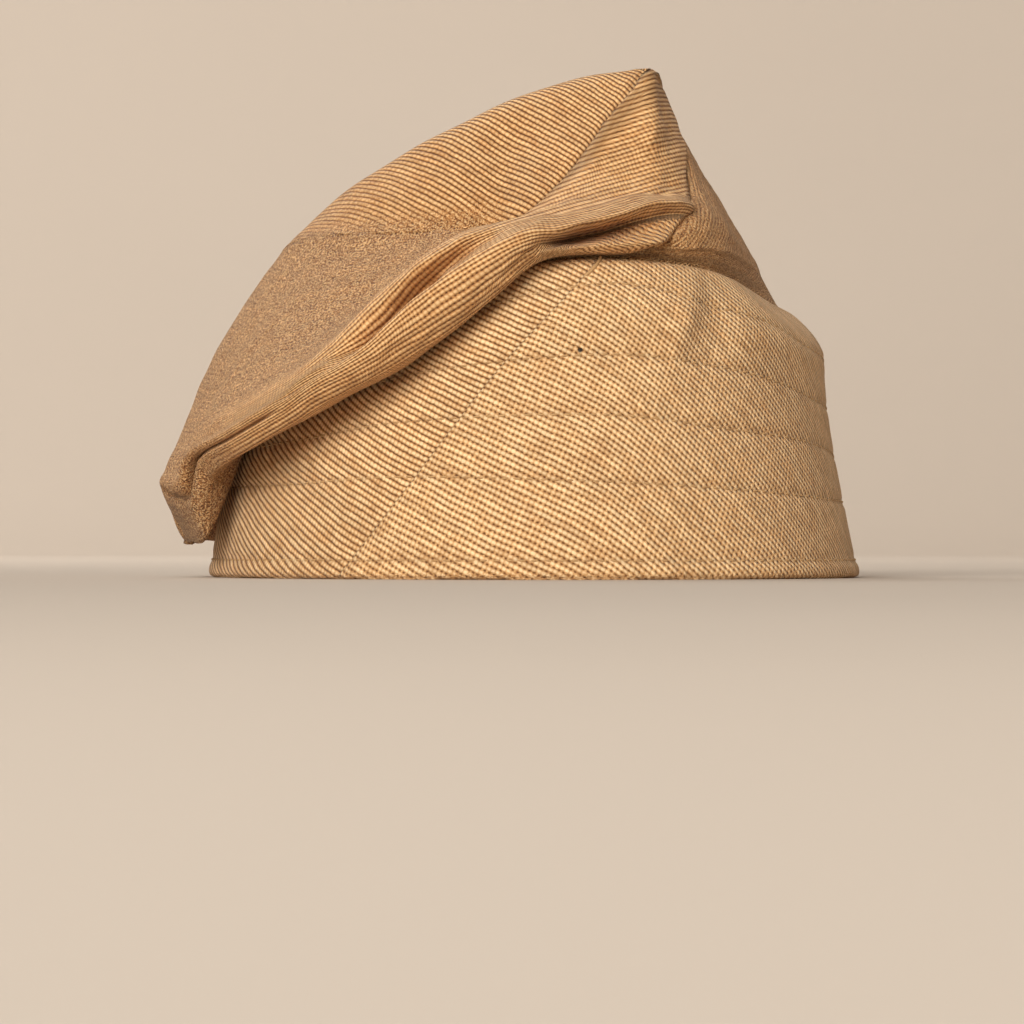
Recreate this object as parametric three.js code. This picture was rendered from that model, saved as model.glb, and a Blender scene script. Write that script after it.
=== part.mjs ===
import * as THREE from "three";

// A soft fila cap: a stitched band and a slouched three-panel crown, in millimetres with +Z up.
// The front faces -Y. A bearing is in degrees round the axis: 0 is the front, 90 the wearer's right.

// rim and cloth
const rimHalfLength = 102;
const rimHalfWidth = 85.5;
const bandThickness = 3;
const clothThickness = 1.6;
const tuckDepth = 9;
const tuckGap = 0.5;
const seamGap = 0.2;
const seamGapDegrees = 0.16;

// band shape
const bandLean = 7.4;
const bandLeanSkew = 2.2;
const bandLeanSkewBearing = -70;
const leanEnd = 0.75;
const leanPower = 1.35;
const shoulderPower = 1.8;
const hemRoll = 0.7;
const hemHeight = 6;

// crown seams and mesh density
const peakBearing = -14;
const backBearing = 115;
const seamSteps = 35;
const bandSteps = 72;
const profileSteps = [1, 1, 2, 2, 2, 4, 5, 3, 3];
const lidSteps = [3, 3, 3, 3];
const lidTrim = 0.012;
const bandHeights = [0, 0.02, 0.06, 0.2, 0.4, 0.6, 0.74, 0.82, 0.9, 0.96, 1];

// upper edge of the band: how high it stands, how far it leans in from the rim and where its shoulder begins
const bandEdge = [
  { bearing: 16, height: 81, inset: 15, shoulder: 0.78 },
  { bearing: 32, height: 74, inset: 17.5, shoulder: 0.72 },
  { bearing: 46, height: 66, inset: 20, shoulder: 0.58 },
  { bearing: 62, height: 63.5, inset: 21.5, shoulder: 0.48 },
  { bearing: 82, height: 65, inset: 22.5, shoulder: 0.42 },
  { bearing: 140, height: 65, inset: 23, shoulder: 0.42 },
  { bearing: 180, height: 68, inset: 22, shoulder: 0.52 },
  { bearing: 230, height: 71, inset: 20, shoulder: 0.7 },
  { bearing: 260, height: 70, inset: 16.5, shoulder: 0.8 },
  { bearing: 288, height: 70, inset: 15.8, shoulder: 0.84 },
  { bearing: 302, height: 71.3, inset: 19.5, shoulder: 0.81 },
  { bearing: 316, height: 73.7, inset: 24.6, shoulder: 0.77 },
  { bearing: 331, height: 76.3, inset: 23.8, shoulder: 0.77 },
  { bearing: 350, height: 80, inset: 17.5, shoulder: 0.77 },
];

// soft forms pressed into the band: a ridge with a dimple beside it
const bandForms = [
  { bearing: -8.5, height: 62, spread: 3, reach: 17, depth: 1.3 },
  { bearing: -14, height: 70, spread: 4, reach: 8, depth: -2 },
];

// crown wall, a row for each section: the hang is the lowest point of the overhang, the bulge its outermost
// line, the crest its upper fold, the seam the line where the top panel begins, the dip the sag between them
const crownSections = [
  { bearing: -14, hang: [82.5, 86.5], bulge: [79, 93.5], crest: [69.5, 102], seam: [55.5, 133], dip: 2 },
  { bearing: 0, hang: [87, 86.3], bulge: [86.5, 93.5], crest: [71, 99], seam: [57.5, 119.5], dip: 2.5 },
  { bearing: 12, hang: [90, 85], bulge: [92, 91.5], crest: [77, 97], seam: [57, 104], dip: 1.5 },
  { bearing: 23, hang: [93, 76], bulge: [98, 83], crest: [83, 91], seam: [53, 94], dip: 0.5 },
  { bearing: 32, hang: [95, 64.5], bulge: [101, 73], crest: [88, 86.5], seam: [47, 92], dip: 1 },
  { bearing: 40, hang: [97, 56.5], bulge: [102, 64.5], crest: [93, 78.5], seam: [46, 91], dip: 1.5 },
  { bearing: 48, hang: [98, 50], bulge: [103, 55.5], crest: [97, 67], seam: [47, 90.5], dip: 1 },
  { bearing: 58, hang: [98, 42], bulge: [103, 48], crest: [99, 57], seam: [49, 90], dip: 0.5 },
  { bearing: 70, hang: [97, 34], bulge: [101.5, 39.5], crest: [99, 47], seam: [52, 90], dip: -2 },
  { bearing: 82, hang: [94.5, 27.5], bulge: [99.5, 33], crest: [98, 38.5], seam: [57, 90], dip: -3 },
  { bearing: 92, hang: [93, 20], bulge: [99, 29], crest: [97, 35], seam: [61, 89.5], dip: -3.5 },
  { bearing: 102, hang: [94, 10], bulge: [99.5, 26.5], crest: [96, 35], seam: [65.5, 88.5], dip: -3 },
  { bearing: 115, hang: [94.2, 9.7], bulge: [99.8, 24.5], crest: [95, 37], seam: [68.5, 88], dip: -3 },
  { bearing: 130, hang: [95.8, 9.9], bulge: [102, 25], crest: [95.5, 42], seam: [62, 90], dip: -5 },
  { bearing: 150, hang: [99, 20], bulge: [104.5, 37], crest: [96, 54], seam: [46, 94], dip: -6 },
  { bearing: 175, hang: [102, 45], bulge: [105, 56], crest: [96, 71], seam: [28, 104], dip: -6 },
  { bearing: 200, hang: [97, 63], bulge: [98, 71], crest: [88, 82], seam: [20, 111], dip: -5 },
  { bearing: 225, hang: [79, 78.5], bulge: [80, 86], crest: [71, 96], seam: [20, 116.5], dip: -4 },
  { bearing: 260, hang: [66, 81], bulge: [64.5, 88], crest: [56, 99], seam: [22, 121], dip: -2 },
  { bearing: 290, hang: [61.3, 81.5], bulge: [58.3, 88.5], crest: [50.5, 100], seam: [27, 125], dip: -1 },
  { bearing: 320, hang: [65.7, 83.5], bulge: [62, 91], crest: [53.5, 105], seam: [36, 129], dip: -1 },
];

// ridge of the top panel from the front peak to its back tip
const ridgeRows = [
  { along: 0, bearing: -10.3, radius: 54.5, height: 133 },
  { along: 0.25, bearing: 6.6, radius: 43.2, height: 130 },
  { along: 0.5, bearing: 50.2, radius: 35, height: 120.7 },
  { along: 0.75, bearing: 95, radius: 47, height: 106.3 },
  { along: 1, bearing: 115, radius: 68.5, height: 88 },
];

// folds of the crown wall, each between two points given as a bearing and a level of the section
// (5 hang, 6 bulge, 7 crest, 8 middle, 9 seam); a negative depth is a groove
const foldDegreesPerLevel = 14;
const crownFolds = [
  { name: "groove between the rolls", from: [26, 6.72], to: [62, 6.42], width: 0.3, depth: -8 },
  { name: "pocket under the roll", from: [-9, 5.55], to: [21, 5.45], width: 0.36, depth: -2.6 },
  { name: "dart at the tip", from: [72, 6.45], to: [112, 6.1], width: 0.16, depth: -1.5 },
  { name: "crease below the peak", from: [-9, 7.9], to: [-11, 9], width: 0.4, depth: 1.5 },
];

// the core line that the crown's upper cloth is offset towards
const coreFront = [3, -40, 100];
const coreBack = [-38, 12, 78];

function radians(degrees) {
  return (degrees * Math.PI) / 180;
}

function clamp(value, low, high) {
  return Math.min(high, Math.max(low, value));
}

function smooth(value) {
  const t = clamp(value, 0, 1);
  return t * t * (3 - 2 * t);
}

function mix(a, b, t) {
  return a.map((value, i) => value + (b[i] - value) * t);
}

function place(bearing, radius, height) {
  const angle = radians(bearing);
  return [-radius * Math.sin(angle), -radius * Math.cos(angle), height];
}

// value of a spline through rows of numbers at uneven stations, once round when a period is given
function spline(stations, rows, at, period) {
  let xs = stations;
  let ys = rows;
  let x = at;
  if (period) {
    const last = stations.length - 1;
    const before = [stations[last - 1] - period, stations[last] - period];
    const after = [stations[0] + period, stations[1] + period];
    xs = [...before, ...stations, ...after];
    ys = [rows[last - 1], rows[last], ...rows, rows[0], rows[1]];
    x = xs[2] + ((((at - xs[2]) % period) + period) % period);
  }
  const end = xs.length - 1;
  let i = 0;
  while (i < end - 1 && x >= xs[i + 1]) {
    i += 1;
  }
  const span = xs[i + 1] - xs[i];
  const t = (x - xs[i]) / span;
  const slope = (k, c) => {
    const a = Math.max(0, k - 1);
    const b = Math.min(end, k + 1);
    return (ys[b][c] - ys[a][c]) / (xs[b] - xs[a]);
  };
  return ys[i].map((value, c) => {
    const start = (1 + 2 * t) * (1 - t) * (1 - t) * value + t * (1 - t) * (1 - t) * span * slope(i, c);
    const finish = t * t * (3 - 2 * t) * ys[i + 1][c] + t * t * (t - 1) * span * slope(i + 1, c);
    return start + finish;
  });
}

// points along a smooth line through the given points, with a number of steps for each span
function thread(points, steps) {
  const stations = [0];
  for (let i = 1; i < points.length; i += 1) {
    const length = Math.hypot(...points[i].map((value, c) => value - points[i - 1][c]));
    stations.push(stations[i - 1] + Math.pow(length, 0.6) + 1e-6);
  }
  const line = [];
  steps.forEach((count, i) => {
    for (let k = 0; k < count; k += 1) {
      line.push(spline(stations, points, stations[i] + ((stations[i + 1] - stations[i]) * k) / count));
    }
  });
  line.push(points[points.length - 1]);
  return line;
}

function rimRadius(bearing) {
  const angle = radians(bearing);
  const across = rimHalfWidth * Math.cos(angle);
  const along = rimHalfLength * Math.sin(angle);
  return (rimHalfLength * rimHalfWidth) / Math.hypot(across, along);
}

function edgeAt(bearing) {
  const stations = bandEdge.map((row) => row.bearing);
  const rows = bandEdge.map((row) => [row.height, row.inset, row.shoulder]);
  return spline(stations, rows, bearing, 360);
}

// outer radius of the band at a fraction of its height
function bandRadius(bearing, fraction) {
  const [, inset, start] = edgeAt(bearing);
  const lean = bandLean + bandLeanSkew * Math.cos(radians(bearing - bandLeanSkewBearing));
  const body = lean * (1 - Math.pow(1 - clamp(fraction / leanEnd, 0, 1), leanPower));
  const shoulder = Math.pow(clamp((fraction - start) / (1 - start), 0, 1), shoulderPower);
  return rimRadius(bearing) - body - (inset - lean) * shoulder;
}

function bandForm(bearing, height) {
  let depth = 0;
  bandForms.forEach((form) => {
    const turn = ((((bearing - form.bearing + 180) % 360) + 360) % 360) - 180;
    const side = turn / form.spread;
    const rise = (height - form.height) / form.reach;
    depth += form.depth * Math.exp(-side * side - rise * rise);
  });
  return depth;
}

function bandOutside(bearing, height) {
  return bandRadius(bearing, clamp(height / edgeAt(bearing)[0], 0, 1));
}

// the section of the crown wall at a bearing, as radius and height pairs from the tuck up to the seam
function crownSection(bearing) {
  const stations = crownSections.map((row) => row.bearing);
  const rows = crownSections.map((row) => [...row.hang, ...row.bulge, ...row.crest, ...row.seam, row.dip]);
  const v = spline(stations, rows, bearing, 360);
  const hang = [v[0], v[1]];
  const bulge = [v[2], v[3]];
  const crest = [v[4], v[5]];
  const seam = [v[6], v[7]];
  const dip = v[8];
  const edgeHeight = edgeAt(bearing)[0];
  const inside = bandRadius(bearing, 1) - bandThickness - tuckGap;
  const foot = [inside, edgeHeight - tuckDepth];
  const lip = [inside, edgeHeight + 0.5];
  const overhang = smooth((edgeHeight - hang[1]) / 12);
  const over = [inside + bandThickness * 0.7, edgeHeight + 5];
  const bendHeight = Math.max(0.8 * edgeHeight + 3.5, hang[1] + 5);
  const bend = [bandOutside(bearing, bendHeight - 3.5) + 3, bendHeight];
  const underHeight = (bendHeight + hang[1]) / 2 - 1;
  const under = [bandOutside(bearing, underHeight) + 1.6, underHeight];
  const length = Math.hypot(seam[0] - crest[0], seam[1] - crest[1]);
  const middle = [
    (crest[0] + seam[0]) / 2 - (dip * (seam[1] - crest[1])) / length,
    (crest[1] + seam[1]) / 2 + (dip * (seam[0] - crest[0])) / length,
  ];
  return [
    foot,
    lip,
    mix(mix(lip, hang, 0.25), over, overhang),
    mix(mix(lip, hang, 0.5), bend, overhang),
    mix(mix(lip, hang, 0.75), under, overhang),
    hang,
    bulge,
    crest,
    middle,
    seam,
  ];
}

function levelList() {
  const levels = [];
  profileSteps.forEach((count, i) => {
    for (let k = 0; k < count; k += 1) {
      levels.push(i + k / count);
    }
  });
  levels.push(profileSteps.length);
  return levels;
}

// how far the folds push the wall out at a bearing and a level
function foldHeight(bearing, level) {
  let height = 0;
  const turn = ((((bearing + 180) % 360) + 360) % 360) - 180;
  crownFolds.forEach((fold) => {
    const ax = (fold.to[0] - fold.from[0]) / foldDegreesPerLevel;
    const ay = fold.to[1] - fold.from[1];
    const px = (turn - fold.from[0]) / foldDegreesPerLevel;
    const py = level - fold.from[1];
    const along = clamp((px * ax + py * ay) / (ax * ax + ay * ay), 0, 1);
    const away = Math.hypot(px - ax * along, py - ay * along) / fold.width;
    const taper = 0.25 + 0.75 * smooth(Math.min(along, 1 - along) / 0.25);
    height += fold.depth * taper * Math.exp(-away * away);
  });
  return height;
}

function subtract(a, b) {
  return a.map((value, i) => value - b[i]);
}

function dot(a, b) {
  return a.reduce((sum, value, i) => sum + value * b[i], 0);
}

function unit(a) {
  const length = Math.hypot(...a) || 1;
  return a.map((value) => value / length);
}

function cross(a, b) {
  return [a[1] * b[2] - a[2] * b[1], a[2] * b[0] - a[0] * b[2], a[0] * b[1] - a[1] * b[0]];
}

// outward directions of a grid of points; columns run round the cap, rows run up the section
function gridNormals(grid) {
  const last = grid.length - 1;
  return grid.map((column, i) =>
    column.map((point, k) => {
      const side = subtract(grid[Math.min(last, i + 1)][k], grid[Math.max(0, i - 1)][k]);
      const rise = subtract(column[Math.min(column.length - 1, k + 1)], column[Math.max(0, k - 1)]);
      return unit(cross(rise, side));
    })
  );
}

// the same directions evened out along each section, so the inner face stays clear of itself in a tight fold
function evenNormals(normals, rounds) {
  let even = normals;
  for (let round = 0; round < rounds; round += 1) {
    even = even.map((column) =>
      column.map((n, k) => {
        const below = column[Math.max(0, k - 1)];
        const above = column[Math.min(column.length - 1, k + 1)];
        return unit(n.map((value, c) => 2 * value + below[c] + above[c]));
      })
    );
  }
  return even;
}

function towardsCore(point) {
  const axis = subtract(coreBack, coreFront);
  const along = clamp(dot(subtract(point, coreFront), axis) / dot(axis, axis), 0, 1);
  return unit(subtract(mix(coreFront, coreBack, along), point));
}

// inner face of a panel: straight in along the normals, or towards the core where the weight is one
function innerGrid(grid, normals, weightAt) {
  return grid.map((column, i) =>
    column.map((point, k) => {
      const straight = normals[i][k].map((value) => -value);
      const weight = weightAt(k);
      const way = unit(mix(straight, towardsCore(point), weight));
      const reach = clothThickness / Math.max(0.62, dot(way, straight));
      return point.map((value, c) => value + way[c] * reach);
    })
  );
}

// a closed sheet from an outer and an inner grid of the same size, with its four edges
function sheetMesh(name, outer, inner, color) {
  const columns = outer.length;
  const rows = outer[0].length;
  const points = [];
  [outer, inner].forEach((grid) => grid.forEach((column) => column.forEach((p) => points.push(...p))));
  const index = [];
  const at = (layer, i, k) => layer * columns * rows + i * rows + k;
  const quad = (a, b, c, d) => index.push(a, b, c, a, c, d);
  for (let i = 0; i < columns - 1; i += 1) {
    for (let k = 0; k < rows - 1; k += 1) {
      quad(at(0, i, k), at(0, i, k + 1), at(0, i + 1, k + 1), at(0, i + 1, k));
      quad(at(1, i, k), at(1, i + 1, k), at(1, i + 1, k + 1), at(1, i, k + 1));
    }
    quad(at(0, i, 0), at(0, i + 1, 0), at(1, i + 1, 0), at(1, i, 0));
    quad(at(0, i, rows - 1), at(1, i, rows - 1), at(1, i + 1, rows - 1), at(0, i + 1, rows - 1));
  }
  for (let k = 0; k < rows - 1; k += 1) {
    quad(at(0, 0, k), at(1, 0, k), at(1, 0, k + 1), at(0, 0, k + 1));
    quad(at(0, columns - 1, k), at(0, columns - 1, k + 1), at(1, columns - 1, k + 1), at(1, columns - 1, k));
  }
  return meshFrom(name, points, index, color);
}

function meshFrom(name, points, index, color) {
  const geometry = new THREE.BufferGeometry();
  geometry.setAttribute("position", new THREE.Float32BufferAttribute(points, 3));
  geometry.setIndex(index);
  geometry.computeVertexNormals();
  const mesh = new THREE.Mesh(geometry, new THREE.MeshStandardMaterial({ color, roughness: 0.85 }));
  mesh.name = name;
  return mesh;
}

function stepTowards(point, target, distance) {
  const way = unit(subtract(target, point));
  return point.map((value, c) => value + way[c] * distance);
}

// bearings of the columns of a wall panel, with its two side edges drawn back from the seams
function columnBearings(start, end) {
  const bearings = [];
  for (let i = 0; i <= seamSteps; i += 1) {
    bearings.push(start + ((end - start) * i) / seamSteps);
  }
  bearings[0] += seamGapDegrees;
  bearings[seamSteps] -= seamGapDegrees;
  return bearings;
}

function wallGrid(bearings) {
  const levels = levelList();
  const plain = bearings.map((bearing) =>
    thread(crownSection(bearing), profileSteps).map((pair) => place(bearing, pair[0], pair[1]))
  );
  const normals = gridNormals(plain);
  return plain.map((column, i) =>
    column.map((point, k) => {
      const height = foldHeight(bearings[i], levels[k]);
      return point.map((value, c) => value + normals[i][k][c] * height);
    })
  );
}

function makeWall(name, start, end, color) {
  const bearings = columnBearings(start, end);
  const step = (end - start) / seamSteps;
  const wide = wallGrid([start - step, ...bearings, end + step]);
  const levels = levelList();
  const normals = evenNormals(gridNormals(wide), 3).slice(1, -1);
  const outer = wide.slice(1, -1);
  const inner = innerGrid(outer, normals, (k) => smooth((levels[k] - 7.2) / 1.3));
  [outer, inner].forEach((grid) =>
    grid.forEach((column) => {
      const top = column.length - 1;
      column[top] = stepTowards(column[top], column[top - 1], seamGap);
    })
  );
  return sheetMesh(name, outer, inner, color);
}

function makeLid(name, color) {
  const stations = ridgeRows.map((row) => row.along);
  const ridge = ridgeRows.map((row) => place(row.bearing, row.radius, row.height));
  const outer = [];
  for (let i = 0; i <= seamSteps; i += 1) {
    const t = lidTrim + ((1 - 2 * lidTrim) * i) / seamSteps;
    const nearBearing = peakBearing + (backBearing - peakBearing) * t;
    const farBearing = peakBearing - (360 - backBearing + peakBearing) * t;
    const nearSeam = crownSection(nearBearing)[9];
    const farSeam = crownSection(farBearing)[9];
    const near = place(nearBearing, nearSeam[0], nearSeam[1]);
    const far = place(farBearing, farSeam[0], farSeam[1]);
    const top = spline(stations, ridge, t);
    const lift = Math.sin(Math.PI * t);
    const face = mix(near, top, 0.5).map((value, c) => value + [-1.5, -1.6, 1.25][c] * lift);
    const rear = mix(top, far, 0.5).map((value, c) => value + [0, 0, 2][c] * lift);
    outer.push(thread([near, face, top, rear, far], lidSteps));
  }
  const normals = gridNormals(outer);
  const inner = innerGrid(outer, normals, () => 1);
  [outer, inner].forEach((grid) =>
    grid.forEach((column) => {
      const end = column.length - 1;
      column[0] = stepTowards(column[0], column[1], seamGap);
      column[end] = stepTowards(column[end], column[end - 1], seamGap);
    })
  );
  return sheetMesh(name, outer, inner, color);
}

// the band is a ring: out along its outer face, over the upper edge and down its inner face
function makeBand(name, color) {
  const points = [];
  const index = [];
  const count = bandHeights.length * 2;
  for (let i = 0; i < bandSteps; i += 1) {
    const bearing = (360 * i) / bandSteps;
    const edgeHeight = edgeAt(bearing)[0];
    const ring = bandHeights.map((fraction) => {
      const height = edgeHeight * fraction;
      const roll = hemRoll * Math.sin(Math.PI * clamp(height / hemHeight, 0, 1));
      const wall = bandRadius(bearing, fraction) + bandForm(bearing, height);
      return { outside: wall + roll, inside: wall, height };
    });
    ring.forEach((row) => points.push(...place(bearing, row.outside, row.height)));
    ring.reverse().forEach((row) => points.push(...place(bearing, row.inside - bandThickness, row.height)));
    const next = (i + 1) % bandSteps;
    for (let k = 0; k < count; k += 1) {
      const up = (k + 1) % count;
      index.push(i * count + k, i * count + up, next * count + up);
      index.push(i * count + k, next * count + up, next * count + k);
    }
  }
  return meshFrom(name, points, index, color);
}

const cap = new THREE.Group();
cap.name = "fila_cap";
cap.add(makeBand("band", 0xb98e50));
cap.add(makeLid("crown_top", 0xc29a5a));
cap.add(makeWall("crown_right", peakBearing, backBearing, 0xbb9152));
cap.add(makeWall("crown_left", backBearing, peakBearing + 360, 0xb58b4c));

// the middle of the box round the cap goes over the origin
const box = new THREE.Box3().setFromObject(cap);
const middle = box.getCenter(new THREE.Vector3());
cap.children.forEach((mesh) => mesh.geometry.translate(-middle.x, -middle.y, -box.min.z));

export default cap;
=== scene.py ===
import math
import random

import bmesh
import bpy
import numpy as np
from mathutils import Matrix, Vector

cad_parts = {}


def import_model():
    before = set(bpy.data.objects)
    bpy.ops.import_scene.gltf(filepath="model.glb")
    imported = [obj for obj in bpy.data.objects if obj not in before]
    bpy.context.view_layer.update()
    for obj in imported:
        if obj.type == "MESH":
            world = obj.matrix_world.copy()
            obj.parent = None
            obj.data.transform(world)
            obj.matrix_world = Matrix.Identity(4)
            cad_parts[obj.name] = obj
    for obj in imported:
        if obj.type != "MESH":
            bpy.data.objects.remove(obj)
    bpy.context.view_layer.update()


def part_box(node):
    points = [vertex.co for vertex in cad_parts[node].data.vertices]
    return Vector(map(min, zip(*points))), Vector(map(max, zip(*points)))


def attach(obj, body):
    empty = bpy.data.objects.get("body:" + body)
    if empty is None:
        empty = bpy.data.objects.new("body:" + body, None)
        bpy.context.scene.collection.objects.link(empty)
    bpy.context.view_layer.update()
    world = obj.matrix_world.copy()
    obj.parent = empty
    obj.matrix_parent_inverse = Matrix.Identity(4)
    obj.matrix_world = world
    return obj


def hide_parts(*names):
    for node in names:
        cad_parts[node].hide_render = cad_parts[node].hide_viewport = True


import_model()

scene = bpy.context.scene
mm = 0.001
bandLow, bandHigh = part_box("band")
axisX = (bandLow.x + bandHigh.x) / 2  # the band is symmetric, so its box gives the cap's axis
axisY = (bandLow.y + bandHigh.y) / 2


# camera, floor and light

viewSet = {
    "bearing": 20.0,  # where the camera stands round the cap, from the front towards the wearer's right
    "distance": 1.370,
    "height": 0.010,
    "pixel": 0.00027,  # metres seen by one pixel at the cap's axis
    "axisColumn": 532.0,
    "rimRow": 577.0,
    "frameSize": 1024.0,
    "sensor": 36.0,
}


def makeCamera(s):
    angle = math.radians(s["bearing"])
    back = Vector((-math.sin(angle), -math.cos(angle), 0))
    right = Vector((math.cos(angle), -math.sin(angle), 0))
    up = Vector((0, 0, 1))
    focal = s["distance"] / s["pixel"]
    middle = s["frameSize"] / 2
    horizonRow = s["rimRow"] - s["height"] / s["pixel"]
    look = -back + right * ((middle - s["axisColumn"]) / focal) + up * ((horizonRow - middle) / focal)
    data = bpy.data.cameras.new("camera")
    data.sensor_width = s["sensor"]
    data.lens = s["sensor"] * focal / s["frameSize"]
    data.clip_start = 0.01
    camera = bpy.data.objects.new("camera", data)
    camera.location = Vector((axisX, axisY, 0)) + back * s["distance"] + up * s["height"]
    camera.rotation_mode = "QUATERNION"
    camera.rotation_quaternion = look.to_track_quat("-Z", "Y")
    scene.collection.objects.link(camera)
    scene.camera = camera
    return back, right, up


viewBack, viewRight, viewUp = makeCamera(viewSet)
print("camera set")


class Wire:
    # a socket that takes part in sums; every operator adds one Math node

    def __init__(self, graph, socket):
        self.graph = graph
        self.socket = socket

    def math(self, operation, *others):
        links = {0: self}
        for slot, other in enumerate(others):
            links[slot + 1] = other
        return self.graph.node("ShaderNodeMath", {"operation": operation}, links)

    def __add__(self, other):
        return self.math("ADD", other)

    def __radd__(self, other):
        return self.math("ADD", other)

    def __sub__(self, other):
        return self.math("SUBTRACT", other)

    def __rsub__(self, other):
        return self.graph.node("ShaderNodeMath", {"operation": "SUBTRACT"}, {0: other, 1: self})

    def __mul__(self, other):
        return self.math("MULTIPLY", other)

    def __rmul__(self, other):
        return self.math("MULTIPLY", other)

    def __truediv__(self, other):
        return self.math("DIVIDE", other)

    def __rtruediv__(self, other):
        return self.graph.node("ShaderNodeMath", {"operation": "DIVIDE"}, {0: other, 1: self})

    def __pow__(self, other):
        return self.math("POWER", other)

    def __rpow__(self, other):
        return self.graph.node("ShaderNodeMath", {"operation": "POWER"}, {0: other, 1: self})

    def floor(self):
        return self.math("FLOOR")

    def fract(self):
        return self.math("FRACT")

    def clamp(self):
        return self.graph.node("ShaderNodeClamp", {}, {"Value": self})

    def dome(self):
        # a repeat from 0 to 1 becomes a rounded hump with its top in the middle
        side = 2 * self - 1
        return 1 - side * side


class Graph:
    def __init__(self, material):
        self.tree = material.node_tree

    def node(self, kind, settings, links, output=0):
        made = self.tree.nodes.new(kind)
        for key, value in settings.items():
            if key == "stops":
                ramp = made.color_ramp.elements
                while len(ramp) < len(value):
                    ramp.new(0.5)
                for element, (place, color) in zip(ramp, value):
                    element.position = place
                    element.color = (*color, 1)
            else:
                setattr(made, key, value)
        for key, value in links.items():
            if isinstance(value, Wire):
                self.tree.links.new(value.socket, made.inputs[key])
            else:
                made.inputs[key].default_value = value
        if made.outputs:
            return Wire(self, made.outputs[output])


def newMaterial(name):
    material = bpy.data.materials.new(name)
    material.use_nodes = True
    material.node_tree.nodes.clear()
    return material, Graph(material)


def addSurface(graph, sockets):
    shader = graph.node("ShaderNodeBsdfPrincipled", {}, sockets)
    graph.node("ShaderNodeOutputMaterial", {}, {"Surface": shader})


floorSet = {
    "color": (0.55, 0.477, 0.404), "mottle": 0.03, "mottleScale": 2.5, "rough": 0.9,
    "rings": (0.0, 0.3, 1.0, 2.0),  # radii of the flat part, before it bends up to the wall
    "bend": 0.8, "bendSteps": 12, "wall": 2.8, "sides": 96,
}


def makeFloor(s):
    reach = s["rings"][-1]
    profile = [(radius, 0.0) for radius in s["rings"]]
    for step in range(1, s["bendSteps"] + 1):
        turn = math.pi / 2 * step / s["bendSteps"]
        profile.append((reach + s["bend"] * math.sin(turn), s["bend"] * (1 - math.cos(turn))))
    profile.append((reach + s["bend"], s["wall"]))
    verts = []
    faces = []
    count = len(profile)
    for i in range(s["sides"]):
        angle = 2 * math.pi * i / s["sides"]
        for radius, height in profile:
            verts.append((radius * math.cos(angle), radius * math.sin(angle), height))
        j = (i + 1) % s["sides"]
        for k in range(count - 1):
            faces.append((i * count + k, i * count + k + 1, j * count + k + 1, j * count + k)[::-1])
    mesh = bpy.data.meshes.new("floor")
    mesh.from_pydata(verts, [], faces)
    mesh.polygons.foreach_set("use_smooth", [True] * len(mesh.polygons))
    sweep = bpy.data.objects.new("floor", mesh)
    scene.collection.objects.link(sweep)
    material, graph = newMaterial("floor_paper")
    spot = graph.node("ShaderNodeTexCoord", {}, {}, "Object")
    grain = graph.node("ShaderNodeTexNoise", {}, {"Vector": spot, "Scale": s["mottleScale"], "Detail": 2.0})
    low = [c * (1 - s["mottle"]) for c in s["color"]]
    high = [c * (1 + s["mottle"]) for c in s["color"]]
    shade = graph.node("ShaderNodeMix", {"data_type": "RGBA"}, {0: grain, 6: (*low, 1), 7: (*high, 1)}, 2)
    addSurface(graph, {"Base Color": shade, "Roughness": s["rough"]})
    mesh.materials.append(material)


capMiddle = (0, 0, 0.06)
lightSet = {  # place and aim are steps back from the cap, to the right and up, as the camera sees it
    "key": {
        "place": (2.0, -0.60, 1.0), "aim": capMiddle, "size": 1.4, "power": 21, "spread": 110,
        "color": (1.0, 0.965, 0.91),
    },
    "fill": {
        "place": (1.5, 1.2, 0.5), "aim": capMiddle, "size": 1.0, "power": 1.7, "spread": 180,
        "color": (1.0, 0.95, 0.9),
    },
    "back": {
        "place": (-1.0, -0.7, 1.3), "aim": capMiddle, "size": 0.9, "power": 2, "spread": 180,
        "color": (1.0, 0.96, 0.9),
    },
    "wall": {
        "place": (-1.0, -0.9, 1.9), "aim": (-2.6, 0, 0.7), "size": 1.2, "power": 44, "spread": 180,
        "color": (1.0, 0.97, 0.93),
    },
}
worldSet = {"color": (1.0, 0.96, 0.91), "strength": 0.22}


def inView(steps):
    back, right, up = steps
    return viewBack * back + viewRight * right + viewUp * up


def addLight(name, s):
    data = bpy.data.lights.new(name, "AREA")
    data.shape = "DISK"
    data.size = s["size"]
    data.energy = s["power"]
    data.color = s["color"]
    data.spread = math.radians(s["spread"])
    lamp = bpy.data.objects.new(name, data)
    lamp.location = inView(s["place"])
    lamp.rotation_mode = "QUATERNION"
    lamp.rotation_quaternion = (inView(s["aim"]) - lamp.location).to_track_quat("-Z", "Y")
    scene.collection.objects.link(lamp)


def makeWorld(s):
    world = bpy.data.worlds.new("world")
    world.use_nodes = True
    sky = world.node_tree.nodes["Background"].inputs
    sky["Color"].default_value = (*s["color"], 1)
    sky["Strength"].default_value = s["strength"]
    scene.world = world


makeFloor(floorSet)
for lightName, light in lightSet.items():
    addLight(lightName, light)
makeWorld(worldSet)
scene.view_settings.view_transform = "Standard"
print("floor and light set")


# smooth lines through short tables

def hermite(t, span, a, slopeA, b, slopeB):
    start = (1 + 2 * t) * (1 - t) ** 2 * a + t * (1 - t) ** 2 * span * slopeA
    return start + t * t * (3 - 2 * t) * b + t * t * (t - 1) * span * slopeB


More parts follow.
